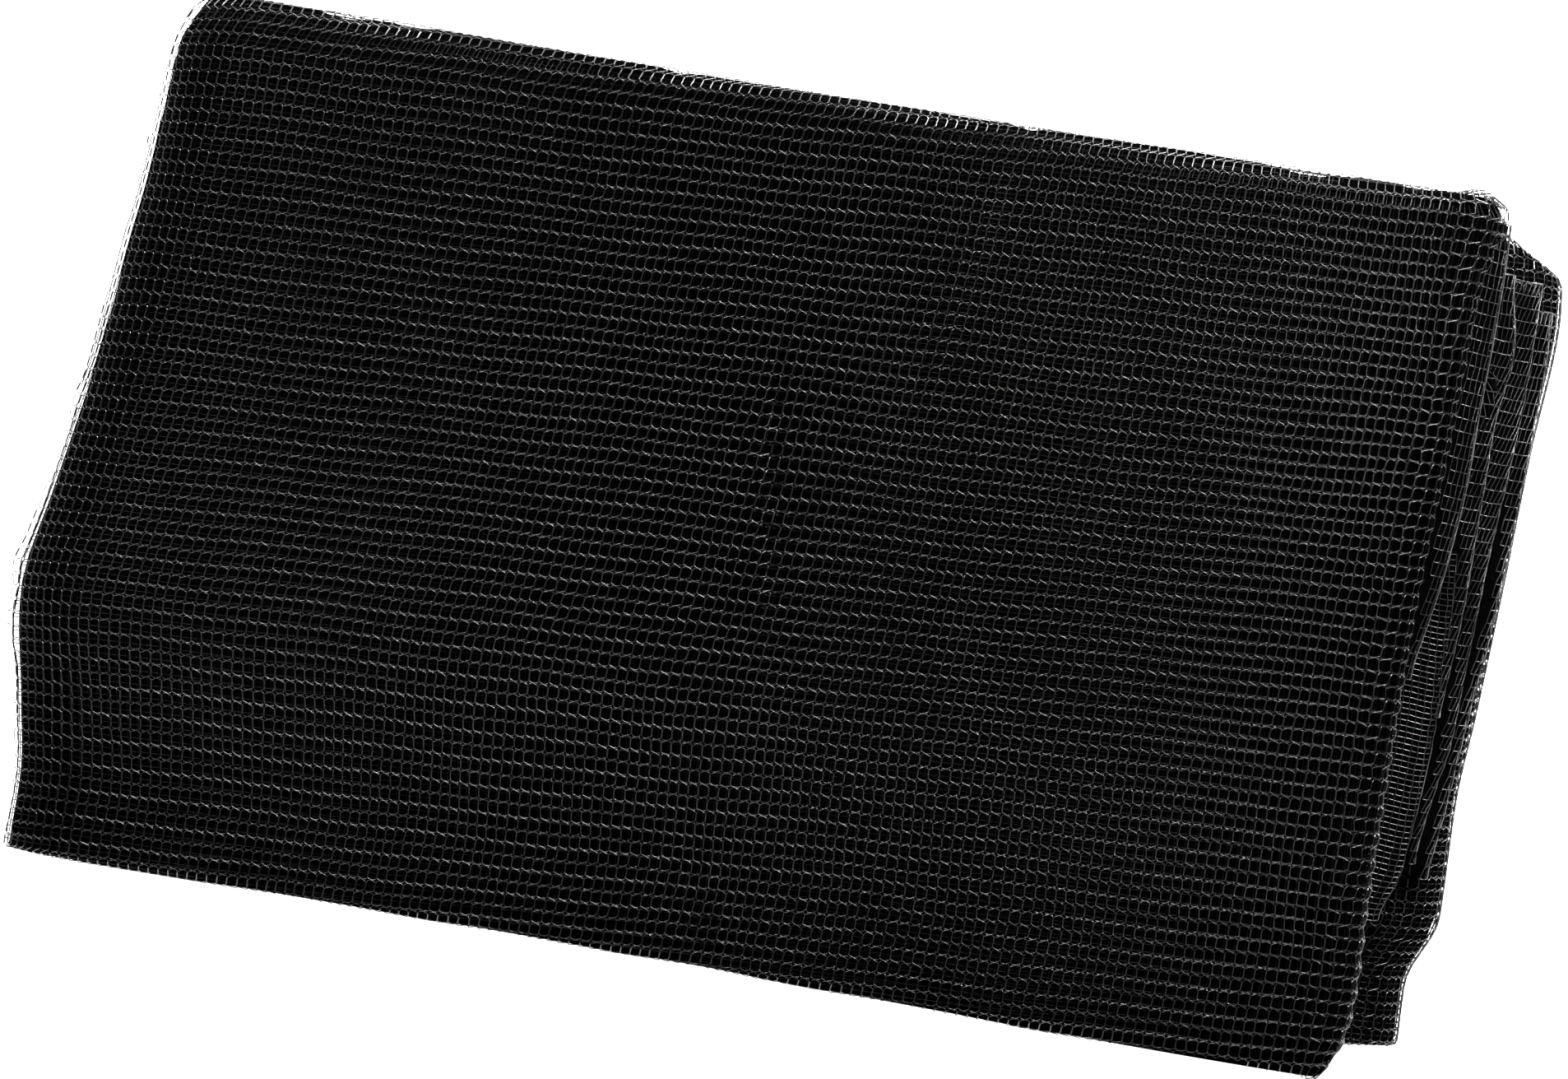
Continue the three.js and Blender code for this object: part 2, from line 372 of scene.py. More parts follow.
# %% Mesh builder
def build_mesh(name, points, quads, triangles, map_points=None):
    mesh = bpy.data.meshes.new(name)
    corners = np.concatenate([quads.ravel(), triangles.ravel()])
    starts = np.concatenate([np.arange(len(quads)) * 4, len(quads) * 4 + np.arange(len(triangles)) * 3])
    mesh.vertices.add(len(points))
    mesh.vertices.foreach_set("co", (points * MM).astype(np.float32).ravel())
    mesh.loops.add(len(corners))
    mesh.loops.foreach_set("vertex_index", corners.astype(np.int32))
    mesh.polygons.add(len(starts))
    mesh.polygons.foreach_set("loop_start", starts.astype(np.int32))
    mesh.update(calc_edges=True)
    mesh.shade_smooth()
    flat = points[:, :2] if map_points is None else map_points
    flat = (flat - flat.min(axis=0)) / (flat.max(axis=0) - flat.min(axis=0))
    mesh.uv_layers.new(name="OFBake").data.foreach_set("uv", flat[corners].astype(np.float32).ravel())
    piece = bpy.data.objects.new(name, mesh)
    bpy.context.scene.collection.objects.link(piece)
    print(name, "has", 2 * len(quads) + len(triangles), "triangles")
    return piece


# %% [markdown]
# The net itself is a warp knit. Each yarn runs down a column of the net, crosses over to the
# next column at a row, runs down there, and comes back at the row after. A second yarn does the
# same the other way round, just behind. Where the two cross, they make the flat X that closes
# each cell, and the front yarn's slant changes from row to row, which gives the net its double
# rows of glints. The threads are real tubes with three sides, laid over the strip's outer skin.

# %% Sizes of the knit
COLUMN = 1.5  # between two columns of the net
ROW = 1.95  # between two rows
YARN = 0.075  # radius of one yarn
UNDER_YARN = 0.09  # in the plainer nets below the top one
PAIR_YARN = 0.13  # where one thread stands for a pair, on the sides that show least
LIP_YARN = 0.1
ROW_TILT = 0.042  # how much the rows climb towards the right, against the fold lines
FACE_LIFT = 0.42  # the top net lies this far above the middle of its ply
LEAN = 2.5  # how far the columns in the middle of the top lean over
LEAN_SPAN = 60  # from the strip's middle to where they have leant over that far
print("Cells of the net, mm:", COLUMN, "by", ROW)

# %% [markdown]
# The ends aren't neat. The top fold's edge is rounded off at the near corner and flares out at
# the far corner, and its knots stand in and out row by row. At the draped end a few small loops
# stick out. The flare and the loops are each a short table of how far the cloth reaches at each
# place along its edge.

# %% Loose ends
UPPER_LIP = table(
    "y reach", (-67, -3.4), (-64, -1.8), (-61, -0.6), (-56, 0), (50, 0), (57, 1), (62, 2.1), (67, 1.6)
)
END_LOOPS = table(
    "y reach", (-64, 0.4), (-58, 0), (-36, 0), (-33, 0.8), (-27, 0.9), (-25, 0), (-21, 0.9), (-17, 0.2),
    (0, 0), (4, 0.5), (8, 0), (30, 0.3), (34, 0), (52, 0.4), (58, 0), (63, 0.9), (66, 0.9)
)
LOOP_LENGTH = 2.5  # the stretch of the draped end that the loops take up
SQUARENESS = 1.6  # how far the top fold's rounding is filled out
RIPPLE = 0.24  # how far the knots along that fold stand in and out, row by row


def lip_at(place, y):
    """How far the upper right fold reaches past its fold line."""
    turned = np.clip(place["level"] - 1.5, 0, 1) * np.clip(place["nx"], 0, 1) * (place["dx"] > 0)
    return (along(UPPER_LIP, "y", "reach", y) + RIPPLE * np.sin(math.pi * y / ROW)) * turned


def on_skin(u, v, lift):
    """Points over the strip's outer skin. v is y on the top ply; past either long fold it goes on
    round the fold and back under the strip."""
    place = pressed(path_at(u))
    corner = np.where(place["dx"] != 0, np.minimum(np.abs(place["nx"]), np.abs(place["nz"])), 0)
    lift = lift + SQUARENESS * corner * np.clip(place["level"] - 2, 0, 1) * (place["dx"] > 0)
    place["dx"] = place["dx"] + lip_at(place, v)
    place["dx"] = place["dx"] - along(END_LOOPS, "y", "reach", v) * np.clip(1 - u / LOOP_LENGTH, 0, 1)
    near, far, middle_x = edges_at(place)
    far_middle = far - SHEET / 2 - OUTER
    near_middle = near + SHEET / 2 + INNER
    past_far = (v - far_middle) / (OUTER + FACE_LIFT)
    past_near = (near_middle - v) / (INNER + FACE_LIFT)
    far_angle = np.clip(past_far, 0, math.pi)
    near_angle = np.clip(past_near, 0, math.pi)
    y = np.clip(v, near_middle, far_middle)
    y = y + (OUTER + lift) * np.sin(far_angle) - (INNER + lift) * np.sin(near_angle)
    y = y - np.maximum(past_far - math.pi, 0) * (OUTER + FACE_LIFT)
    y = y + np.maximum(past_near - math.pi, 0) * (INNER + FACE_LIFT)
    near_w = PITCH + (INNER + lift) * np.cos(near_angle)
    w = np.where(past_near > 0, near_w, (OUTER + lift) * np.cos(far_angle))
    return lay(place, y, w, near, middle_x)


def on_back(u, v, lift):
    """Points over the strip's other side, where its first ply ends at the cut."""
    place = path_at(u)
    near, far, middle_x = edges_at(place)
    cut = CREASE["y"] + CREASE["lean"] * middle_x + CUT_BACK
    y = np.clip(v, near + SHEET / 2 + INNER, far - SHEET / 2 - OUTER)
    return lay(place, y, np.where(v > cut, -OUTER, INNER) - lift, near, middle_x)


print("Flare at the top fold's far corner, mm:", UPPER_LIP["reach"].max())

# %% [markdown]
# Every thread is a line of points with an "up" direction. The tubes of one net are made together:
# a ring of three points at each place, four-sided faces between the rings, and a cap at both ends
# of each run, so that every tube is closed. The edges of the rings are sharp: each straight bit of
# yarn then catches the light on its own, which is what makes the rows of glints.

# %% Threads
def unit(vectors):
    return vectors / np.maximum(np.linalg.norm(vectors, axis=-1, keepdims=True), 1e-9)


def thread_mesh(name, runs, radius):
    """Closed three-sided tubes along runs, a list of (points, up directions, what to keep)."""
    points, quads, caps = [], [], []
    count = 0
    for line, up, keep in runs:
        run = unit(np.gradient(line, axis=1))
        side = unit(np.cross(run, up))
        up = np.cross(side, run)
        angle = math.radians(90) + np.arange(3) * math.tau / 3
        ring = line[:, :, None] + radius * (
            np.cos(angle)[:, None] * side[:, :, None] + np.sin(angle)[:, None] * up[:, :, None]
        )
        held = keep[:, :-1] & keep[:, 1:]
        number = np.arange(ring[..., 0].size).reshape(ring.shape[:3]) + count
        here, there = number[:, :-1][held], number[:, 1:][held]
        turn = np.roll(np.arange(3), -1)
        quads.append(np.stack([here, here[:, turn], there[:, turn], there], axis=-1).reshape(-1, 4))
        blank = np.zeros((len(line), 1), bool)
        begins = held & ~np.concatenate([blank, held[:, :-1]], axis=1)
        ends = held & ~np.concatenate([held[:, 1:], blank], axis=1)
        caps += [number[:, :-1][begins][:, ::-1], number[:, 1:][ends]]
        points.append(ring.reshape(-1, 3))
        count += ring[..., 0].size
    points, quads, caps = np.concatenate(points), np.concatenate(quads), np.concatenate(caps)
    used = np.unique(np.concatenate([quads.ravel(), caps.ravel()]))
    renumber = np.zeros(count, int)
    renumber[used] = np.arange(len(used))
    piece = build_mesh(name, points[used], renumber[quads], renumber[caps])
    ends = np.zeros(2 * len(piece.data.edges), np.int32)
    piece.data.edges.foreach_get("vertices", ends)
    same_ring = ends[::2] // 3 == ends[1::2] // 3
    piece.data.attributes.new("sharp_edge", "BOOLEAN", "EDGE").data.foreach_set("value", same_ring)
    return piece


FIRST_ROW = 66  # where row 0 crosses the packet
WANDER = np.random.default_rng(7).normal(0, 0.03, (2, 61, 67))  # how far each knot strays
DRIFT_ALONG = table("amount along_u along_row phase", (0.25, 0.11, 0.05, 0), (0.12, 0.37, -0.4, 0))
DRIFT_ACROSS = table("amount along_u along_row phase", (0.25, 0.05, 0.12, 0), (0.1, 0.21, -0.31, 0))


def lattice(column, row):
    """Where a column and row of the net lie on the skin: the path length u and the place v."""
    knot_column, knot_row = (np.floor(value + 0.5).astype(int) for value in (column, row))
    stray = WANDER[:, knot_column % WANDER.shape[1], knot_row % WANDER.shape[2]]
    u = COLUMN * column + stray[0]
    u = u + waves_at(DRIFT_ALONG, u, row)
    v = FIRST_ROW - ROW * row + ROW_TILT * (u - START["panel", 3])
    v = v + waves_at(DRIFT_ACROSS, u, row) + stray[1]
    share = np.clip((u - START["panel", 3]) / LENGTHS[1], 0, 1)
    return u + LEAN * np.sin(math.pi * share) * v / LEAN_SPAN, v


# Four points for each row, in columns and rows: a yarn runs down its column, then crosses over.
ACROSS = np.array([0, 0, 0.12, 0.88])
DOWN = {1: np.array([0.2, 0.8, 0.87, 1.13]), -1: np.array([0.2, 0.8, 0.95, 1.05])}
BULGE = np.array([0.5, 0.5, 0.9, 0.9])  # how far the yarn stands out there, in its own radii
BESIDE = 0.03  # how far the two yarns of a column lie from its middle, in columns
PROBE = 0.1  # the height over which the direction "up" is measured
CROSSING = 0.03  # how far the columns of a plainer net lie above its middle, and its rows below it


def knit_runs(columns, rows, keep, lift):
    """The front yarns, 1, and the back ones, -1, of the net over a range of columns and rows."""
    first = np.arange(*columns)[:, None, None]
    row = np.arange(*rows)[None, :, None]
    odd = row % 2
    runs = []
    for front, down in DOWN.items():
        start = odd if front == 1 else 1 - odd
        column = first + start + front * (1 - 2 * odd) * ACROSS - front * BESIDE
        u, v = lattice(column, row + down)
        u, v = (value.reshape(len(first), -1) for value in (u, v + 0 * u))
        raised = lift + np.tile(front * BULGE * YARN, row.size)
        line = on_skin(u, v, raised)
        up = on_skin(u, v, raised + PROBE) - line
        runs.append((line, up, keep(u, v)))
    return runs


def plain_runs(columns, rows, keep, lift, shift=(0, 0), twist=0, step=2, skin=on_skin):
    """A plainer net for the plies below: one thread down each column and one along each row."""
    runs = []
    for down in (True, False):
        one = np.arange(*columns, 1 if down else step)
        other = np.arange(*rows, step if down else 1)
        column, row = np.meshgrid(one, other, indexing="ij")
        if not down:
            column, row = column.T, row.T
        u, v = lattice(column + shift[0] - twist * row, row + shift[1] + twist * column)
        line = skin(u, v, lift + (CROSSING if down else -CROSSING))
        up = skin(u, v, lift + PROBE) - line
        runs.append((line, up, keep(u, v)))
    return runs


def zone(u_low, u_high, v_low, v_high):
    """Keeps the part of a net inside a range of path lengths and places across."""
    return lambda u, v: (u > u_low) & (u < u_high) & (v > v_low) & (v < v_high)


print("Knots stray by up to, mm:", np.abs(WANDER).max().round(2))

# %% [markdown]
# The top net is all real knit: over the draped end, the top panel and its right fold, and round
# both long folds. It is cut into three meshes so that none gets too large. Two plainer nets lie
# just below it, turned a little against it, as the plies of a folded net never line up.

# %% Nets of the top panel
TOP_COLUMNS = [-1, 54, 104, 150]  # where the three meshes begin and end
TOP_ROWS = (-8, 80)
TOP_ZONE = (-67, 71)  # how far round the near and the far long fold the top net goes
TOP_END = START["panel", 2]
nets = []
for k in range(3):
    knit = knit_runs(TOP_COLUMNS[k:k + 2], TOP_ROWS, zone(0.2, TOP_END, *TOP_ZONE), FACE_LIFT)
    nets.append(thread_mesh(f"top_net_{k + 1}", knit, YARN))

UNDER_NETS = table("lift across down twist", (0.12, 0.45, 0.4, 0.012), (-0.2, 0.7, 0.15, -0.017))
for k, (lift, *shift, twist) in enumerate(zip(*UNDER_NETS.values())):
    plain = plain_runs((-1, 150), (-6, 76), zone(0.3, TOP_END - 8, -65, 69), lift, shift, twist)
    nets.append(thread_mesh(f"under_net_{k + 1}", plain, UNDER_YARN))

# %% [markdown]
# The lower folds show at the right, beyond the top fold, and along all four sides. The lowest
# fold at the right gets real knit, with a second net inside it. The sides and the underside show
# little, so one thicker thread stands for each pair of yarns there.

# %% Nets of the lower folds
RIGHT_START = START["turn", 0] - 24  # far enough in to lie under the top fold
RIGHT_END = START["panel", 0] - 3
RIGHT_ZONE = (-66, 69)
ALL_ROWS = (-90, 100)  # more than the packet has, so that the zone alone decides
right = knit_runs(
    (int(RIGHT_START / COLUMN), int(START["panel", 0] / COLUMN)), ALL_ROWS,
    zone(RIGHT_START, RIGHT_END, *RIGHT_ZONE), FACE_LIFT,
)
nets.append(thread_mesh("right_net", right, YARN))
LIP_START = START["turn", 0] - 3
inner = plain_runs(
    (int(LIP_START / COLUMN), int(START["panel", 0] / COLUMN)), ALL_ROWS,
    zone(LIP_START, RIGHT_END, *RIGHT_ZONE), 0.3, (0.4, 0.5), step=1,
)
nets.append(thread_mesh("under_net_3", inner, LIP_YARN))

NEAR_LIMIT, FAR_LIMIT = -61, 60  # where the nets of the long folds end and those of the faces begin
NEAR_END, FAR_END = -68, 72  # and how far round those folds they go
SHORT = 0.5  # how far the nets stop short of the path's end


def outside_top(u, v):
    """The long folds of the lower panels, apart from the part that the right net covers."""
    at_right = (u > RIGHT_START) & (u < RIGHT_END)
    return (u > TOP_END) & (u < PATH_END - SHORT) & ~at_right & (v > NEAR_END) & (v < FAR_END)


def far_side(u, v):
    return outside_top(u, v) & (v > FAR_LIMIT)


def near_side(u, v):
    return outside_top(u, v) & (v < NEAR_LIMIT)


SIDE_COLUMNS = (int(TOP_END / COLUMN), int(PATH_END / COLUMN) + 4)
nets.append(thread_mesh("far_net", plain_runs(SIDE_COLUMNS, (-30, 26), far_side, FACE_LIFT), PAIR_YARN))
nets.append(thread_mesh("near_net", plain_runs(SIDE_COLUMNS, (55, 95), near_side, FACE_LIFT), PAIR_YARN))

LEFT_START = START["turn", 1] - 3
LEFT_END = START["panel", 1] + 3
left = plain_runs(
    (int(LEFT_START / COLUMN), int(LEFT_END / COLUMN) + 2), (-20, 90), zone(LEFT_START, LEFT_END, -64, 66),
    FACE_LIFT, skin=on_back,
)
nets.append(thread_mesh("left_net", left, PAIR_YARN))

BELOW_START = START["panel", 0] - 2
below = plain_runs(
    (int(BELOW_START / COLUMN), int(PATH_END / COLUMN) + 4), (-20, 110),
    zone(BELOW_START, PATH_END - SHORT, NEAR_LIMIT, FAR_LIMIT), FACE_LIFT, step=3,
)
nets.append(thread_mesh("below_net", below, PAIR_YARN))

# %% [markdown]
# Behind the threads lie more plies, which only show as black. They are one thin closed sheet on
# all of the folds, from the draped end to the end of the lowest panel. In the flat parts it lies
# low in its ply, so that the cells have depth. In the bends it comes up right under the threads.
# It drops only at a few gaps along the far edge, so that white shows through there as it does at
# the real one.

# %% The dark sheet
THIN = 0.16  # the sheet's thickness
SEAT = -0.5  # its place in the ply, towards the ply's lower face
BEND_SEAT = 0.22  # its place in the bends, right under the threads
SHEET_STEP = 3.6  # between its points across the strip
FREE_END = 1.5  # how far the sheet stops short of the draped end, where only threads hang on
FOLD_OUTSET = 0.22  # how far it comes out towards the threads in the folds
SHEET_SHARE = 0.7  # how much of the top fold's reach it follows
EDGE_GAPS = table(
    "x length depth",
    (-81, 7, 0.7), (-71, 2, 0.6), (-30, 2, 0.5), (25, 3, 0.5), (67, 9, 0.8), (85, 3, 0.8)
)


def seat_at(x, bend):
    """The sheet's place in its ply: it drops in the flat parts and at the gaps along the far edge."""
    depth = sum(
        deep * np.exp(-((2 * (x - middle) / length) ** 4))
        for middle, length, deep in zip(*EDGE_GAPS.values())
    )
    return SEAT + (BEND_SEAT - SEAT - depth * (bend > 0)) * bend**2


def sheet_lip(place, y):
    """The dark sheet follows the lip, but stops short, so that only threads flare out."""
    return SHEET_SHARE * lip_at(place, y)


def closed_sheet(upper_face, lower_face, chart, count=0):
    """The points, faces and map of a thin closed sheet between two grids of points."""
    rings, stations = upper_face.shape[:2]
    upper = np.arange(rings * stations).reshape(rings, stations) + count
    lower = upper + rings * stations

    def grid(a):
        return np.stack([a[:-1, :-1], a[1:, :-1], a[1:, 1:], a[:-1, 1:]], axis=-1).reshape(-1, 4)

    def rim(a, b):
        return np.stack([a[:-1], a[1:], b[1:], b[:-1]], axis=-1)

    sides = [
        rim(upper[:, 0], lower[:, 0])[:, ::-1],
        rim(upper[:, -1], lower[:, -1]),
        rim(upper[0], lower[0]),
        rim(upper[-1], lower[-1])[:, ::-1],
    ]
    quads = np.concatenate([grid(upper), grid(lower)[:, ::-1], *sides])
    points = np.concatenate([upper_face.reshape(-1, 3), lower_face.reshape(-1, 3)])
    return points, quads, np.concatenate([chart, chart])


def strip_sheet():
    """The dark sheet on all of the strip's folds."""
    u = path_steps(spacing=3)
    u = np.concatenate([[FREE_END], u[u > FREE_END + 1]])
    faces = [
        sheet_points(u, SHEET_STEP, side * THIN / 2, FOLD_OUTSET, seat_at, sheet_lip) for side in (1, -1)
    ]
    steps = np.linalg.norm(np.diff(faces[0], axis=1), axis=-1).mean(axis=0)
    across, down = np.meshgrid(np.concatenate([[0], np.cumsum(steps)]), u)
    return closed_sheet(*faces, np.stack([across, down], axis=-1).reshape(-1, 2))


sheet_parts = [strip_sheet()]
print("Points of the dark sheet:", len(sheet_parts[0][0]))

# %% [markdown]
# Between the top fold and the lowest fold at the right, the edges of other plies come out: long
# lips of gathered net. Each one is a short table of where its edge runs and how broad the cloth
# shows there, with its own height. The columns are gathered close together on most of them and
# lean over, so they show as fine steep lines. On one the rows are gathered instead, like the rungs
# of a ladder. A strip of the dark sheet backs each lip, and all of the sheet is joined as one mesh.

# %% Lips at the right
LIPS = {
    "fold_lip": table(
        "y reach leg", (-6, 95, 3), (2, 96.2, 3), (11, 97.6, 4), (22, 98.7, 5), (32, 99, 5), (42, 99.3, 5),
        (54, 99.5, 6), (63, 99.3, 6)
    ),
    "ladder_lip": table(
        "y reach leg", (-42, 96, 5), (-34, 98.5, 6.5), (-22, 99.6, 7.5), (-10, 100.2, 7.5), (4, 99.8, 7),
        (14, 99.4, 6)
    ),
    "inner_lip": table(
        "y reach leg", (-11, 100.6, 2), (-2, 101.2, 3), (10, 101.7, 3), (23, 101.8, 4), (33, 102, 5),
        (43, 103.2, 8), (56, 101.5, 8)
    ),
    "middle_lip": table(
        "y reach leg", (-33, 100.4, 2), (-22, 101.8, 2), (-14, 103.1, 2.5), (-2, 103.6, 2.5), (8, 104, 3),
        (23, 105, 4), (39, 106, 6), (55, 106, 8)
    ),
    "outer_lip": table(
        "y reach leg", (-35, 102.6, 1.8), (-26, 103.7, 2), (-16, 104.6, 2), (-4, 105.8, 2), (9, 106.9, 2),
        (24, 107.8, 3), (40, 108.4, 4), (51, 108.2, 5)
    ),
    "small_flap": table("y reach leg", (30, 98.6, 2), (35, 101, 4), (38.5, 101.6, 5), (43, 98.6, 2)),
}
LIP_SHAPES = table(
    "height radius gathered lean rows",
    (19.5, 2.2, 0.8, 0.05, 1.95),
    (16.6, 0.9, 1.1, -0.05, 0.85),
    (16, 0.9, 0.7, 0.2, 1.95),
    (14.6, 0.8, 0.65, 0.22, 1.95),
    (13.7, 0.7, 0.7, 0.14, 1.95),
    (18.6, 0.5, 1.1, -0.7, 1.95),
)
LIP_SWAY = table("amount along_t along_y phase", (0.25, 0.9, 0.31, 0), (0.4, -0.4, 0.12, 0))
SWAY_LENGTH = 4  # the swaying dies away over this length, back from the lip's edge
COLUMN_STRAY = table("amount along_y along_column phase", (0.1, 1.7, 2.1, 0))
ROW_STRAY = {"amount": 0.15, "along_t": 0.8}
LIP_CROSSING = 0.05  # how far its columns lie above its middle, and its rows below it
MOST_COLUMNS = 80  # to either side of the lip's edge, more than any lip keeps
LIP_BACK = 0.3  # how far its dark sheet lies behind the threads
LIP_PAST = 1  # how far the lip goes on past its turn
LIP_STEP = 2.0  # between the points of its dark sheet, along the lip
LIP_STATIONS = 12  # and how many there are across it


def lip_skin(edge, height, radius):
    """The lip's surface as a function of t, the length from its edge, and y."""

    def skin(t, y, lift=0):
        turned = np.clip(t / radius + math.pi / 2, 0, math.pi)
        reach = along(edge, "y", "reach", y) - radius
        past = np.minimum(t + radius * math.pi / 2, 0) - np.maximum(t - radius * math.pi / 2, 0)
        x = reach + past + (radius + lift) * np.sin(turned)
        sway = waves_at(LIP_SWAY, t, y) * np.clip(1 + t / SWAY_LENGTH, 0, 1)
        z = height + (radius + lift) * np.cos(turned) + sway
        return np.stack([x, y + 0 * x, z], axis=-1)

    return skin


def lip_net(name, edge, height, radius, gathered, lean, row_step):
    """One lip: a leg of net that comes out from under the top fold, and its turn back."""
    skin = lip_skin(edge, height, radius)
    runs = []
    rows = np.arange(edge["y"][0], edge["y"][-1], row_step)
    columns = np.arange(-MOST_COLUMNS, MOST_COLUMNS) * gathered
    for down in (True, False):
        y, column = np.meshgrid(rows, columns, indexing="ij")
        if down:
            y, column = y.T, column.T
        t = column + lean * y + waves_at(COLUMN_STRAY, y, column)
        y = y + ROW_STRAY["amount"] * np.sin(ROW_STRAY["along_t"] * t)
        lift = LIP_CROSSING if down else -LIP_CROSSING
        line = skin(t, y, lift)
        up = skin(t, y, lift + PROBE) - line
        keep = (t > -along(edge, "y", "leg", y)) & (t < radius * math.pi / 2 + LIP_PAST)
        runs.append((line, up, keep))
    return thread_mesh(name, runs, LIP_YARN)


def lip_sheet(edge, height, radius, count):
    """The strip of dark sheet that backs one lip."""
    skin = lip_skin(edge, height, radius)
    places = np.arange(edge["y"][0], edge["y"][-1], LIP_STEP)
    y, share = np.meshgrid(places, np.linspace(0, 1, LIP_STATIONS), indexing="ij")
    start = -along(edge, "y", "leg", y) - LIP_PAST
    t = start + (radius * math.pi / 2 + LIP_PAST - start) * share
    chart = np.stack([y, t], axis=-1).reshape(-1, 2)
    return closed_sheet(skin(t, y, -LIP_BACK), skin(t, y, -LIP_BACK - THIN), chart, count)


for (name, edge), *shape in zip(LIPS.items(), *LIP_SHAPES.values()):
    nets.append(lip_net(name, edge, *shape))
    sheet_parts.append(lip_sheet(edge, *shape[:2], sum(len(part[0]) for part in sheet_parts)))
points, quads, chart = (np.concatenate(parts) for parts in zip(*sheet_parts))
sheet = build_mesh("screen_sheet", points, quads, np.zeros((0, 3), int), chart)

# %% [markdown]
# Finishes are node trees. A small class lets the maths of a finish be written as plain Python:
# an expression on its values adds the Math nodes. Any other node comes from one method.

# %% Shader helpers
class Value:
    """One socket of a finish, for use in expressions."""

    def __init__(self, finish, socket):
        self.finish = finish
        self.socket = socket

    def maths(self, operation, *operands):
        node = self.finish.node("ShaderNodeMath", {"operation": operation}, dict(enumerate(operands)))
        return Value(self.finish, node.outputs[0])

    def __add__(self, other):
        return self.maths("ADD", self, other)

    def __mul__(self, other):
        return self.maths("MULTIPLY", self, other)

    __radd__ = __add__
    __rmul__ = __mul__


class Finish:
    """A material and its node tree."""

    def __init__(self, name):
        self.material = bpy.data.materials.new(name)
        self.material.use_nodes = True
        self.tree = self.material.node_tree
        self.tree.nodes.clear()

    def node(self, kind, settings=None, inputs=None):
        made = self.tree.nodes.new(kind)
        for key, value in (settings or {}).items():
            setattr(made, key, value)
        for key, value in (inputs or {}).items():
            if isinstance(value, Value):
                self.tree.links.new(value.socket, made.inputs[key])
            else:
                made.inputs[key].default_value = value
        return made

    def value(self, kind, settings=None, inputs=None, output=0):
        return Value(self, self.node(kind, settings, inputs).outputs[output])

    def surface(self, inputs):
        shader = self.value("ShaderNodeBsdfPrincipled", inputs=inputs)
        self.node("ShaderNodeOutputMaterial", inputs={"Surface": shader})
        return self.material


# %% [markdown]
# The yarn is spun-dyed black polyester: nearly black all through, with a soft gloss from its
# bundle of fine filaments. Nothing on it is one flat colour: the black is a little greyer where
# fine dust has settled, and the gloss changes from patch to patch.

# %% Yarn finish
PATCH_SCALE = 60  # patches of dust, about 17 mm across
FILAMENT_SCALE = 6000  # the bundle of filaments in one yarn


def yarn_finish(name, light, gloss):
    finish = Finish(name)
    place = finish.value("ShaderNodeTexCoord", output="Object")
    patches = finish.value("ShaderNodeTexNoise", inputs={"Vector": place, "Scale": PATCH_SCALE, "Detail": 3})
    filaments = finish.value(
        "ShaderNodeTexNoise", inputs={"Vector": place, "Scale": FILAMENT_SCALE, "Detail": 1}
    )
    colour = finish.value(
        "ShaderNodeMix",
        {"data_type": "RGBA"},
        {"Factor": patches, "A": (light, light, light, 1), "B": (2.5 * light, 2.5 * light, 2.6 * light, 1)},
        output="Result",
    )
    bump = finish.value(
        "ShaderNodeBump", inputs={"Strength": 0.6, "Distance": 0.00004, "Height": filaments}, output="Normal"
    )
    roughness = 0.2 + 0.12 * patches
    return finish.surface(
        {"Base Color": colour, "Roughness": roughness, "Normal": bump, "Specular IOR Level": gloss}
    )


# %% [markdown]
# The plies behind the top one get almost no light, because each net shades the next. The sheet that stands
# for them is made darker than their black yarn and without any shine, as painted shade, and is only a little
# uneven.

# %% Sheet finish
PLY_SCALE = 900  # unevenness about as large as a cell


def sheet_finish():
    finish = Finish("plies_in_painted_shade")
    place = finish.value("ShaderNodeTexCoord", output="Object")
    patches = finish.value("ShaderNodeTexNoise", inputs={"Vector": place, "Scale": PLY_SCALE, "Detail": 2})
    # Painted shade: darker than the yarn itself, for the shade that the nets above cast on these plies.
    colour = finish.value(
        "ShaderNodeMix",
        {"data_type": "RGBA"},
        {"Factor": patches, "A": (0.0001, 0.0001, 0.0001, 1), "B": (0.0006, 0.0006, 0.0006, 1)},
        output="Result",
    )
    return finish.surface({"Base Color": colour, "Roughness": 0.8 + 0.1 * patches, "Specular IOR Level": 0})


# %% [markdown]
# There are three yarns: the one that shows, the same yarn in the shade of the plies above it, with that
# shade painted in as a darker colour and less gloss, and the yarn of the gathered lips, which is made a
# little greyer as painted light on the lips.

# %% Finishes on the pieces
yarn = yarn_finish("black_yarn", 0.0012, 0.6)
# Painted shade: the same yarn, darker and with almost no gloss, for the shade of the plies above it.
shaded_yarn = yarn_finish("shaded_yarn", 0.0004, 0.05)
# Painted light: the lips' yarn is lighter than the yarn that shows, for light falling on the gathered lips.
lip_yarn_painted_light = yarn_finish("lip_yarn_painted_light", 0.0022, 0.5)


def yarn_of(name):
    if name in LIPS:
        return lip_yarn_painted_light
    return shaded_yarn if name.startswith("under_net") else yarn


sheet.data.materials.append(sheet_finish())
for net in nets:
    net.data.materials.append(yarn_of(net.name))
print("Finishes:", sorted(material.name for material in bpy.data.materials))

# %% [markdown]
# Every piece moves with the model's one body and stands in for its one solid, which is hidden.
# Laid out flat, the dark sheet would be four plies of about 130 mm across the strip, and the
# length of the path.

# %% Tie the pieces to the model
for piece in [sheet, *nets]:
    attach(piece, "root")
    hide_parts("net")
print("Pieces tied to the model:", 1 + len(nets))

# %% [markdown]
# The packet lies on white paper. The paper gives off light of its own, which keeps it evenly
# white right up to the packet and brings out the cells that can be seen through.

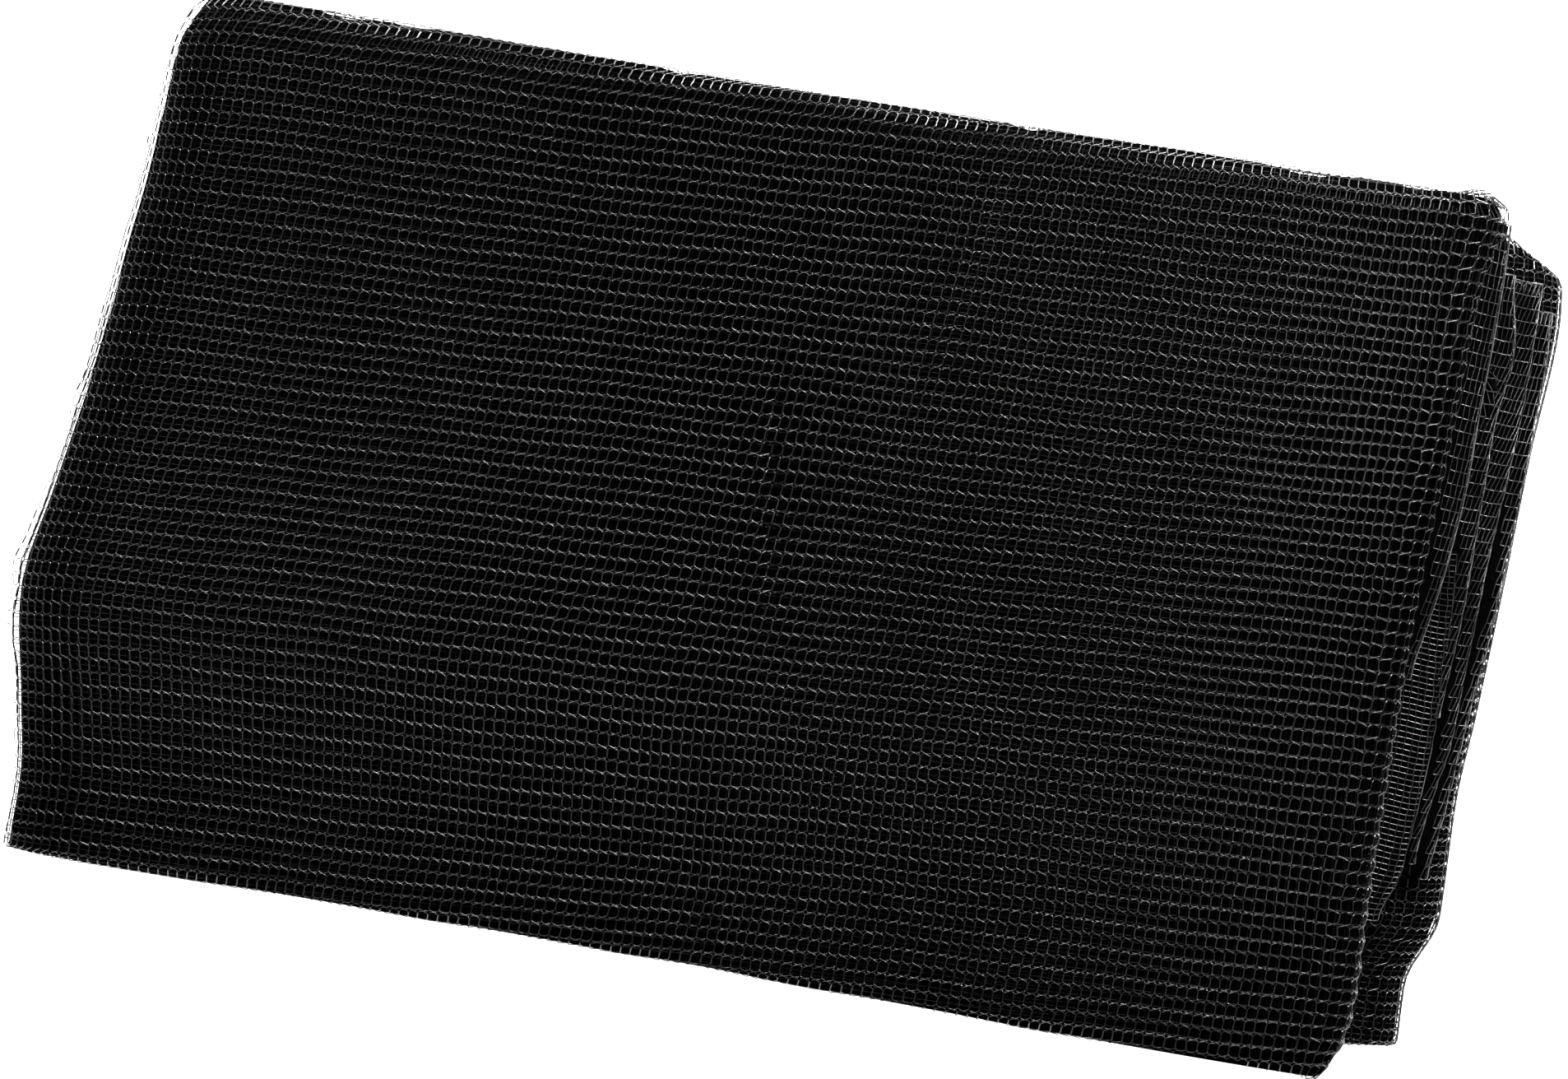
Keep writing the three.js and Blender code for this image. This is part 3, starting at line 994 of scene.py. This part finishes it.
# %% Floor
bpy.ops.mesh.primitive_plane_add(size=4)
floor = bpy.context.object
floor.name = "floor"
paper = Finish("white_floor")
paper_look = {"Base Color": (0.9, 0.9, 0.9, 1), "Roughness": 0.9}
paper_look.update({"Emission Color": (1, 1, 1, 1), "Emission Strength": 1})
floor.data.materials.append(paper.surface(paper_look))
print("Floor:", floor.name, "with", floor.data.materials[0].name)

# %% [markdown]
# The camera looks straight down, turned by a few degrees, as the packet lies askew in the frame.
# Black yarn shows only by its glints, and a yarn glints where it runs square to the line halfway
# between the camera and a light. Two low lights behind the packet, one on each side, pick out the
# two slants of the crossings. A small one above the near side picks out the upright columns on the
# slope, and another the far right corner. The last one lights the draped end from the left.

# %% Camera and light
TOP_PLANE = 26 * MM
FRAME_WIDTH = 229 * MM  # what the photograph's frame spans on the packet's top
CAMERA_X = 0.7 * MM
CAMERA_HEIGHT = 0.775
ROLL = math.radians(8.9)
SENSOR = 36
ROOM_LIGHT = 0.03

camera = bpy.data.objects.new("camera", bpy.data.cameras.new("camera"))
bpy.context.scene.collection.objects.link(camera)
bpy.context.scene.camera = camera
camera.data.sensor_width = SENSOR
camera.data.lens = SENSOR * CAMERA_HEIGHT / FRAME_WIDTH
camera.data.clip_start = 0.01
camera.data.clip_end = 10
over = Matrix.Translation((CAMERA_X, 0, TOP_PLANE + CAMERA_HEIGHT))
camera.matrix_world = over @ Matrix.Rotation(ROLL, 4, "Z")

world = bpy.data.worlds.new("studio")
bpy.context.scene.world = world
world.use_nodes = True
world.node_tree.nodes["Background"].inputs["Color"].default_value = (1, 1, 1, 1)
world.node_tree.nodes["Background"].inputs["Strength"].default_value = ROOM_LIGHT


def softbox(name, size, distance, azimuth, height, power, aim=(0, 0, 0), spread=180):
    """A square lamp that faces its aim, in mm; azimuth 0 is the near side, 90 the right."""
    lamp = bpy.data.objects.new(name, bpy.data.lights.new(name, "AREA"))
    lamp.data.size = size
    lamp.data.energy = power
    lamp.data.spread = math.radians(spread)
    turn, rise = math.radians(azimuth), math.radians(height)
    way = Vector((math.sin(turn) * math.cos(rise), -math.cos(turn) * math.cos(rise), math.sin(rise)))
    lamp.location = Vector(aim) * MM + way * distance
    lamp.rotation_euler = way.to_track_quat("Z", "Y").to_euler()
    bpy.context.scene.collection.objects.link(lamp)


softbox("key", 0.24, 1.2, 157, 34, 92)
softbox("second", 0.24, 1.2, 205, 34, 40)
softbox("slope", 0.12, 0.5, -40, 67, 0.6)
softbox("corner", 0.06, 0.4, 140, 66, 0.06, aim=(92, 62, 26), spread=24)
softbox("left", 0.3, 0.7, -100, 12, 1.2)
bpy.context.scene.view_settings.view_transform = "Standard"
bpy.context.scene.view_settings.look = "None"
print("Lens, mm:", round(camera.data.lens, 1), "lights:", len(bpy.data.lights))
